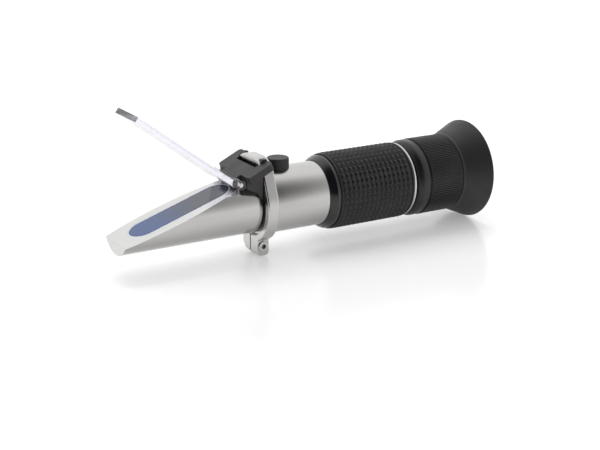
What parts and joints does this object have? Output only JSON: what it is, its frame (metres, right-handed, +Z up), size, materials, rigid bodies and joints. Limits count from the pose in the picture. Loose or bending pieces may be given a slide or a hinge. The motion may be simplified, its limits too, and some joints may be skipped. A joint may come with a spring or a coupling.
{
  "type": "hand-held refractometer",
  "caption": "Hand-held refractometer with a slanted prism nose under a hinged daylight plate, a clamp band, a rubber grip and a focusing eyepiece with a flared eyecup.",
  "frame": {"origin": "middle of the length and width, on the surface that the eyecup's rim rests on", "axes": "+X along the optical axis from the prism nose to the eyecup, +Z up with the slanted prism face upwards, +Y across"},
  "size_m": [0.1682, 0.0432, 0.0653],
  "materials": {
    "satin_aluminium": "satin",
    "prism_glass": "polished",
    "seal": "matte",
    "bright_metal": "brushed",
    "black_moulding": "matte",
    "clear_acrylic": "polished",
    "brass": "turned",
    "black_rubber": "matte",
    "black_anodised": "matte",
    "lens_glass": "polished",
    "gloss_black": "glossy"
  },
  "bodies": {
    "frame": {"prism_housing": "satin_aluminium", "main_prism": "prism_glass", "prism_seal": "seal", "main_tube": "satin_aluminium", "clamp_band": "bright_metal", "clamp_screw": "bright_metal", "hinge_bracket": "black_moulding", "hinge_pin": "bright_metal", "calibration_bush": "brass", "objective_carrier": "black_anodised", "bimetal_strip": "brass", "strip_screw": "bright_metal", "scale_holder": "black_anodised", "scale_disc": "lens_glass", "scale_retainer": "black_anodised", "grip_trim": "gloss_black", "grip_sleeve": "black_rubber", "accent_ring": "bright_metal", "eyepiece_barrel": "black_anodised"},
    "plate": {"daylight_plate": "clear_acrylic"},
    "cap": {"calibration_cap": "black_rubber"},
    "screw": {"calibration_screw": "brass"},
    "objective": {"objective_cell": "black_anodised", "objective_lens": "lens_glass"},
    "ocular": {"ocular_cell": "black_anodised", "field_lens": "lens_glass", "lens_spacer": "black_anodised", "eye_lens": "lens_glass", "lens_retainer": "black_anodised"},
    "focus": {"focus_ring": "black_moulding", "eyecup": "black_rubber"}
  },
  "joints": [
    {"name": "plate_hinge", "type": "hinge", "parent": "frame", "child": "plate", "pos_m": [-0.0347, 0, 0.03326], "axis": [0, 1, 0], "range_deg": [-55.7, 35]},
    {"name": "cap_lift", "type": "slide", "parent": "frame", "child": "cap", "axis": [0, 0, 1], "range_m": [0, 0.012]},
    {"name": "objective_shift", "type": "slide", "parent": "frame", "child": "objective", "axis": [0, 0, 1], "range_m": [-0.00025, 0.00025]},
    {"name": "calibration_turn", "type": "hinge", "parent": "frame", "child": "screw", "pos_m": [-0.0117, 0, 0.0336], "axis": [0, 0, 1], "range_deg": [-181, 181]},
    {"name": "focus_slide", "type": "slide", "parent": "frame", "child": "ocular", "axis": [1, 0, 0], "range_m": [-0.0008, 0.004]},
    {"name": "focus_turn", "type": "hinge", "parent": "ocular", "child": "focus", "pos_m": [0, 0, 0.0216], "axis": [1, 0, 0], "range_deg": [-48, 240]}
  ],
  "couplings": [
    {"joint": "calibration_turn", "follows": "objective_shift", "rad_per_m": 12566},
    {"joint": "focus_slide", "follows": "focus_turn", "m_per_rad": 0.00095493}
  ]
}
